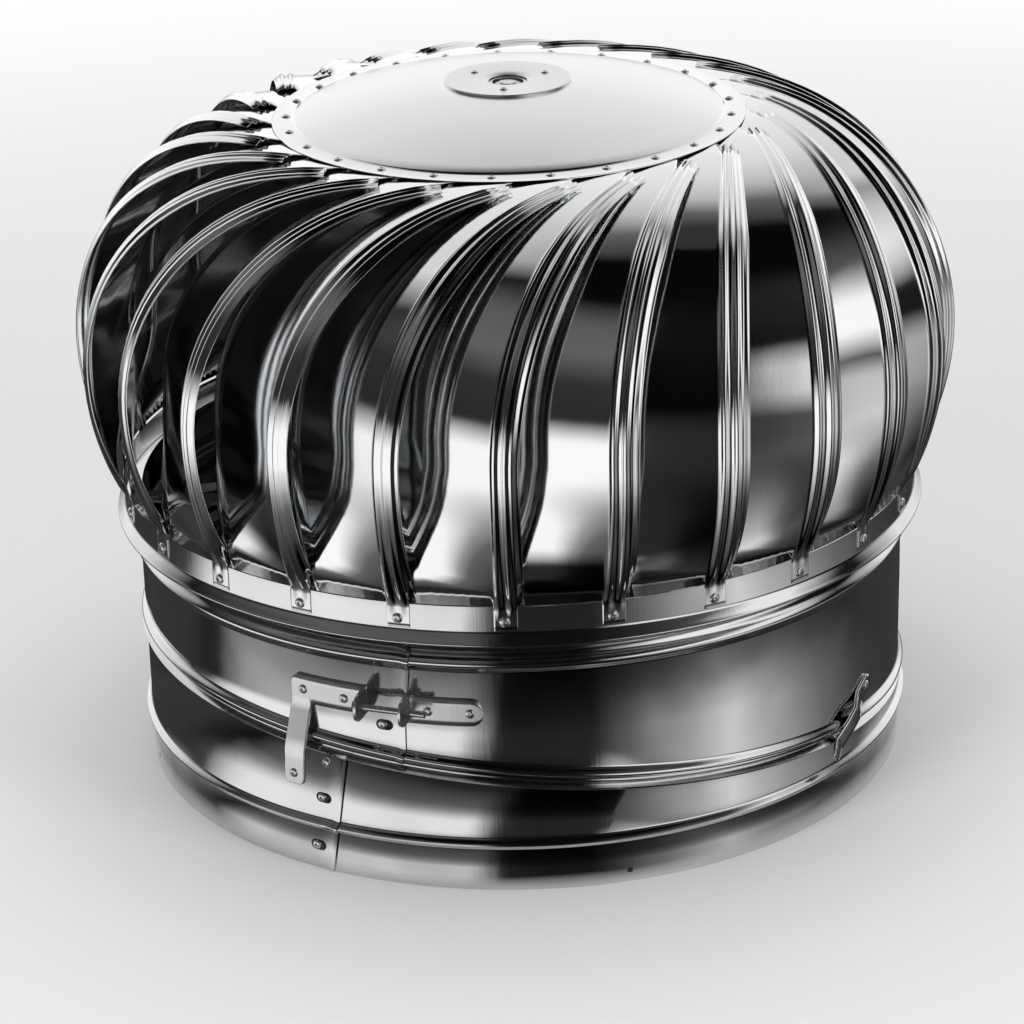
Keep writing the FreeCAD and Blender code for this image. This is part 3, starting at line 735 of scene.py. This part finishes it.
right_spots = [55.0 * step / 9 for step in range(9)] + [51.0, 53.0, 54.6, 55.6, 56.05]
right_rows = []
for share in (1.0, 0.6, 0.2, -0.2, -0.6, -1.0):
    row = []
    for spot in right_spots:
        half = RIGHT_HALF - corner_fall(RIGHT_LENGTH - spot, RIGHT_CORNER)
        azimuth = RIGHT_END + math.degrees(spot / RIGHT_FACE)
        row.append(point(RIGHT_FACE, azimuth, RIGHT_MIDDLE + half * share))
    right_rows.append(row)
bent_plate("latch_right_rolled", "latch_right_plate", right_rows, lug_points(RIGHT_LUG, RIGHT_FACE))


# Retaining clip: a strip of polished 2 mm sheet, riveted to the upper collar at its upper right end.
# It steps out over the joint's beads and ends in a flap. It narrows to a round at both ends.
CLIP_AZIMUTH = 60.6
CLIP_TOP = 94.5
CLIP_TURN = 13.0
CLIP_FALL = 38.0
CLIP_FACING = -36.0

# Its line as (share of the way down, radius, half the width).
CLIP_LINE = (
    (0.0, 300.6, 2.6), (0.02, 300.6, 4.8), (0.05, 300.6, 6.0), (0.09, 300.6, 6.5), (0.25, 300.7, 6.5),
    (0.34, 303.0, 6.5), (0.44, 306.6, 6.5), (0.6, 307.2, 6.5), (0.78, 307.2, 6.5), (0.83, 307.4, 6.5),
    (0.87, 308.6, 6.5), (0.94, 311.0, 6.0), (0.98, 312.4, 4.6), (1.0, 313.0, 3.0),
)
along = point(CLIP_TURN * math.radians(THROAT), CLIP_FACING, 0) - UP * CLIP_FALL
clip_rows = []
for share, radius, half in CLIP_LINE:
    azimuth = CLIP_AZIMUTH - CLIP_TURN * share
    centre = point(radius, azimuth, CLIP_TOP - CLIP_FALL * share)
    across = along.normalized().cross(point(1, azimuth, 0))
    clip_rows.append([centre + across * (half * side) for side in (1.0, 0.5, 0.0, -0.5, -1.0)])
bent_plate("retaining_clip_bent", "retaining_clip", clip_rows, None, rolled)


# Rivets: satin steel, with a low domed head and a small dimple, set square to the sheet. One head is
# made for each place, and the circles of them are repeats round the axis. Only the heads are here.
RIVET_HEAD = ((4.0, 0.0), (3.9, 0.5), (3.3, 1.1), (2.3, 1.5), (1.5, 1.6), (1.3, 0.3))
RIVET_SHARP = 40
DIMPLE = 0.2


def outwards(places):
    """Places given by radius, azimuth and height, each with its direction away from the axis."""
    return [(point(radius, azimuth, z), point(1, azimuth, 0)) for radius, azimuth, z in places]


def rivet_mesh(name, places, size=1.0):
    """Rivet heads at places with their directions."""
    points = []
    faces = []
    for place, direction in places:
        turn = UP.rotation_difference(direction).to_matrix()
        rows = []
        for step in range(ROUND):
            spoke = [point(r * size, 360.0 / ROUND * step, z * size) for r, z in RIVET_HEAD]
            rows.append([turn @ corner + place for corner in spoke])
        foot = [len(points) + len(RIVET_HEAD) * step for step in range(ROUND)]
        inner = [corner + len(RIVET_HEAD) - 1 for corner in foot]
        faces += grid(rows, True, False, len(points))
        points += grid_points(rows)
        faces += [(inner[step], inner[(step + 1) % ROUND], len(points)) for step in range(ROUND)]
        faces.append(tuple(foot[::-1]))
        points.append(turn @ Vector((0, 0, DIMPLE * size)) + place)
    return mesh_object(name, points, faces, RIVET_SHARP)


foot_rivets = rivet_mesh("foot_rivets", outwards([(FOOT_RADIUS, 0, 220.5)]))
repeated(foot_rivets, VANES, VANE_AZIMUTH, satin)
finished(foot_rivets, "rotor", satin)
rim_rivets = rivet_mesh("rim_rivets", [(point(169.5, 0, RIM_TOP), UP)], 0.85)
repeated(rim_rivets, VANES, -4.66, satin)
finished(rim_rivets, "rotor", satin)
hub_rivets = rivet_mesh("hub_rivets", [(point(31.0, 0, HUB_TOP), UP)], 0.8)
repeated(hub_rivets, 3, -6.0, satin)
finished(hub_rivets, "rotor", satin)

# On the throat: two in each plate of the latch, one beside the upper seam, one in the clip and one in
# the leg's foot. On the base: three beside the lower seam.
UPPER_SLOT = (THROAT, -20.4, 129.0)
latch_places = [(302.45, -32.6, 147.0), (302.45, -26.0, 146.3), (302.1, -13.6, 144.2)]
latch_places += [(302.1, -7.7, 144.0), UPPER_SLOT, (302.6, 59.2, 90.4), (312.0, -33.6, 81.6)]
latch_rivets = rivet_mesh("latch_rivets", outwards(latch_places), 0.9)
finished(latch_rivets, "throat", satin)
seam_places = [(THROAT, lower_seam(z) - 3.4, z) for z in (89.0, 59.7, 19.2)]
seam_rivets = rivet_mesh("seam_rivets", outwards(seam_places), 0.9)
finished(seam_rivets, "base", satin)


# Slots of the seams: the long holes that the seams' rivets sit in. They aren't cut through the sheet,
# but are shown by thin plates on it, as dark as a hole in shade.
SLOT_SHEET = 0.06
SLOT_REACH = 6.6
SLOT_HALF = 4.2
SLOT_STRAIGHT = 2.4
SLOT_SHIFT = 1.5
SLOT_STEPS = 12


def slot_mesh(name, places):
    """Thin plates with round ends, one at each place, set a little to the right of it."""
    points = []
    faces = []
    for radius, azimuth, z in places:
        rows = [[], []]
        for step in range(SLOT_STEPS + 1):
            along = -SLOT_REACH * math.cos(math.pi * step / SLOT_STEPS)
            past = max(abs(along) - SLOT_STRAIGHT, 0.0)
            half = math.sqrt(max(SLOT_HALF**2 - past**2, 0.01))
            turn = azimuth + math.degrees((along + SLOT_SHIFT) / radius)
            rows[0].append(point(radius + SLOT_SHEET, turn, z + half))
            rows[1].append(point(radius + SLOT_SHEET, turn, z - half))
        faces += grid(rows, first=len(points))
        points += grid_points(rows)
    slots = mesh_object(name, points, faces)
    plate = slots.modifiers.new("sheet", "SOLIDIFY")
    plate.thickness = SLOT_SHEET * MM
    plate.offset = 0.0
    return slots


shaded = steel("slot_in_shade", (0.12, 0.12, 0.12), 0.50, 0.20, 0.05, 0.10)
seam_slots = slot_mesh("seam_slots", seam_places)
finished(seam_slots, "base", shaded)
latch_slot = slot_mesh("latch_slot", [UPPER_SLOT])
finished(latch_slot, "throat", shaded)


# Camera: in front and above, turned by fractions of a degree until the beads, ring and cap lay as in
# the photograph. Angles are in radians, and places from here on in metres.
PITCH = math.radians(-22.28) - 0.00068502
YAW = -0.0024065
ROLL = math.radians(-1.70)
LENS = 129.68
CAMERA_Y = -2.7079
CAMERA_Z = 1.2894
forward = Vector((math.sin(YAW) * math.cos(PITCH), math.cos(YAW) * math.cos(PITCH), math.sin(PITCH)))
level = forward.cross(UP).normalized()
above = level.cross(forward)
sideways = level * math.cos(ROLL) + above * math.sin(ROLL)
upwards = above * math.cos(ROLL) - level * math.sin(ROLL)
camera = bpy.data.objects.new("camera", bpy.data.cameras.new("camera"))
camera.data.lens = LENS
camera.data.clip_end = 100.0
camera.matrix_world = Matrix((
    (sideways.x, upwards.x, -forward.x, 0.0),
    (sideways.y, upwards.y, -forward.y, CAMERA_Y),
    (sideways.z, upwards.z, -forward.z, CAMERA_Z),
    (0.0, 0.0, 0.0, 1.0),
))
bpy.context.scene.collection.objects.link(camera)
bpy.context.scene.camera = camera
bpy.context.scene.view_settings.view_transform = "Standard"


# Floor: pale near the object, and for the camera it fades to white with the distance. Mirrored rays
# see it only close to the skirt, and beyond that they see the studio.
FLOOR_HALF = 40
FLOOR_GREY = 0.72
FADE_FROM = 0.9
FADE_TO = 2.6
MIRRORED_TO = 0.303
CLEAR_FROM = 0.32
corners = [(-FLOOR_HALF, -FLOOR_HALF, 0), (FLOOR_HALF, -FLOOR_HALF, 0),
           (FLOOR_HALF, FLOOR_HALF, 0), (-FLOOR_HALF, FLOOR_HALF, 0)]
floor_mesh = bpy.data.meshes.new("floor")
floor_mesh.from_pydata(corners, [], [(0, 1, 2, 3)])
floor = bpy.data.objects.new("floor", floor_mesh)
bpy.context.scene.collection.objects.link(floor)
floor_paint = bpy.data.materials.new("floor_paint")
floor_paint.use_nodes = True
nodes, links = floor_paint.node_tree.nodes, floor_paint.node_tree.links
paint = nodes["Principled BSDF"]
paint.inputs["Base Color"].default_value = (FLOOR_GREY, FLOOR_GREY, FLOOR_GREY, 1)
paint.inputs["Roughness"].default_value = 0.7
place = made(nodes, "TexCoord")
distance = made(nodes, "VectorMath", "LENGTH")
links.new(place.outputs["Object"], distance.inputs[0])
rays = made(nodes, "LightPath")
fade = made(nodes, "MapRange", inputs={1: FADE_FROM, 2: FADE_TO, 3: 0.0, 4: 1.0})
fade.interpolation_type = "SMOOTHSTEP"
links.new(distance.outputs["Value"], fade.inputs[0])
camera_only = made(nodes, "Math", "MULTIPLY")
links.new(fade.outputs[0], camera_only.inputs[0])
links.new(rays.outputs["Is Camera Ray"], camera_only.inputs[1])
white = made(nodes, "Emission")
backdrop = made(nodes, "MixShader")
links.new(camera_only.outputs[0], backdrop.inputs[0])
links.new(paint.outputs[0], backdrop.inputs[1])
links.new(white.outputs[0], backdrop.inputs[2])
beyond = made(nodes, "MapRange", inputs={1: MIRRORED_TO, 2: CLEAR_FROM, 3: 0.0, 4: 1.0})
links.new(distance.outputs["Value"], beyond.inputs[0])
glossy_only = made(nodes, "Math", "MULTIPLY")
links.new(beyond.outputs[0], glossy_only.inputs[0])
links.new(rays.outputs["Is Glossy Ray"], glossy_only.inputs[1])
clear = made(nodes, "BsdfTransparent")
surface = made(nodes, "MixShader")
links.new(glossy_only.outputs[0], surface.inputs[0])
links.new(backdrop.outputs[0], surface.inputs[1])
links.new(clear.outputs[0], surface.inputs[2])
links.new(surface.outputs[0], nodes["Material Output"].inputs["Surface"])
floor_mesh.materials.append(floor_paint)


# Studio: white for the camera, and even soft light for dull surfaces. What the steel mirrors is a dark
# room with a tall soft light at the left front, a wide leaning one at the right, and a white backdrop
# behind. Each of the three is a ramp over azimuths times a ramp over elevations, both in degrees.
LIGHT_STRENGTH = 1.12
SOFT_STRENGTH = 0.7
LEAN = 0.45
FRONT_ROUND = (
    (-126, 0.03), (-110, 0.06), (-98, 0.8), (-90, 1.0), (-18, 1.0), (-9, 0.02), (20, 0.02), (31, 0.12),
    (41, 0.28), (51, 0.45), (62, 0.78), (74, 0.5), (98, 0.17), (118, 0.06), (138, 0.04),
)
FRONT_UP = (
    (-58, 0.02), (-38, 0.12), (-32, 0.3), (-27, 0.68), (-22, 1.0), (-8, 1.0), (3, 0.02), (22, 0.03),
    (36, 0.12), (50, 0.1), (62, 0.0),
)
SIDE_ROUND = ((20, 0.0), (29, 1.0), (84, 1.0), (112, 0.4), (130, 0.0))
SIDE_UP = ((-24, 0.0), (-10, 1.0), (2, 1.0), (14, 0.0))
BACK_ROUND = ((-128, 1.0), (-108, 0.0), (108, 0.0), (128, 1.0))
BACK_UP = (
    (-18, 0.04), (-8, 0.6), (0, 1.0), (13, 1.0), (24, 0.84), (42, 0.72), (56, 0.5), (66, 0.12),
    (76, 0.03),
)


def ramp(nodes, stops):
    """A ramp of grey values over degrees from -180 to 180."""
    node = nodes.new("ShaderNodeValToRGB")
    while len(node.color_ramp.elements) < len(stops):
        node.color_ramp.elements.new(0.5)
    for element, (degrees, value) in zip(node.color_ramp.elements, stops):
        element.position = degrees / 360 + 0.5
        element.color = (value, value, value, 1)
    return node


world = bpy.data.worlds.new("studio")
world.use_nodes = True
bpy.context.scene.world = world
nodes, links = world.node_tree.nodes, world.node_tree.links
direction = made(nodes, "TexCoord")
split = made(nodes, "SeparateXYZ")
links.new(direction.outputs["Generated"], split.inputs[0])
backward = made(nodes, "Math", "MULTIPLY", {1: -1.0})
links.new(split.outputs["Y"], backward.inputs[0])
azimuth = made(nodes, "Math", "ARCTAN2")
links.new(split.outputs["X"], azimuth.inputs[0])
links.new(backward.outputs[0], azimuth.inputs[1])
elevation = made(nodes, "Math", "ARCSINE")
links.new(split.outputs["Z"], elevation.inputs[0])
around = made(nodes, "Math", "MULTIPLY_ADD", {1: 0.5 / math.pi, 2: 0.5})
links.new(azimuth.outputs[0], around.inputs[0])
upright = made(nodes, "Math", "MULTIPLY_ADD", {1: 0.5 / math.pi, 2: 0.5})
links.new(elevation.outputs[0], upright.inputs[0])
slope = made(nodes, "Math", "MULTIPLY_ADD", {1: -LEAN, 2: LEAN / 2})
links.new(around.outputs[0], slope.inputs[0])
leaning = made(nodes, "Math", "ADD")
links.new(upright.outputs[0], leaning.inputs[0])
links.new(slope.outputs[0], leaning.inputs[1])
mirrored = None
for round_stops, up_stops, rise in (
    (FRONT_ROUND, FRONT_UP, upright),
    (SIDE_ROUND, SIDE_UP, leaning),
    (BACK_ROUND, BACK_UP, upright),
):
    round_ramp = ramp(nodes, round_stops)
    links.new(around.outputs[0], round_ramp.inputs[0])
    up_ramp = ramp(nodes, up_stops)
    links.new(rise.outputs[0], up_ramp.inputs[0])
    shine = made(nodes, "Math", "MULTIPLY")
    links.new(round_ramp.outputs[0], shine.inputs[0])
    links.new(up_ramp.outputs[0], shine.inputs[1])
    if mirrored:
        brighter = made(nodes, "Math", "MAXIMUM")
        links.new(mirrored.outputs[0], brighter.inputs[0])
        links.new(shine.outputs[0], brighter.inputs[1])
        shine = brighter
    mirrored = shine
strong = made(nodes, "Math", "MULTIPLY", {1: LIGHT_STRENGTH})
links.new(mirrored.outputs[0], strong.inputs[0])
rays = made(nodes, "LightPath")
glossy = made(nodes, "Mix", inputs={2: SOFT_STRENGTH})
links.new(rays.outputs["Is Glossy Ray"], glossy.inputs[0])
links.new(strong.outputs[0], glossy.inputs[3])
seen = made(nodes, "Mix", inputs={3: 1.0})
links.new(rays.outputs["Is Camera Ray"], seen.inputs[0])
links.new(glossy.outputs[0], seen.inputs[2])
links.new(seen.outputs[0], nodes["Background"].inputs["Strength"])
nodes["Background"].inputs["Color"].default_value = (1, 1, 1, 1)


# Lamps: three soft boxes that light the floor and the duller steel, and don't show in the mirrored
# sheet. Each has a place, a turn in degrees, a size and a power.
for name, place, turn, size, power in (
    ("key_light", (-2.4, -3.0, 2.6), (52, 0, -40), (1.6, 2.4), 60.0),
    ("fill_light", (2.8, -2.6, 2.2), (56, 0, 48), (1.4, 2.2), 40.0),
    ("top_light", (0.0, 0.4, 3.6), (0, 0, 0), (2.4, 2.4), 40.0),
):
    light = bpy.data.lights.new(name, "AREA")
    light.shape = "RECTANGLE"
    light.size, light.size_y = size
    light.energy = power
    lamp = bpy.data.objects.new(name, light)
    lamp.location = place
    lamp.rotation_euler = [math.radians(angle) for angle in turn]
    lamp.visible_glossy = False
    bpy.context.scene.collection.objects.link(lamp)
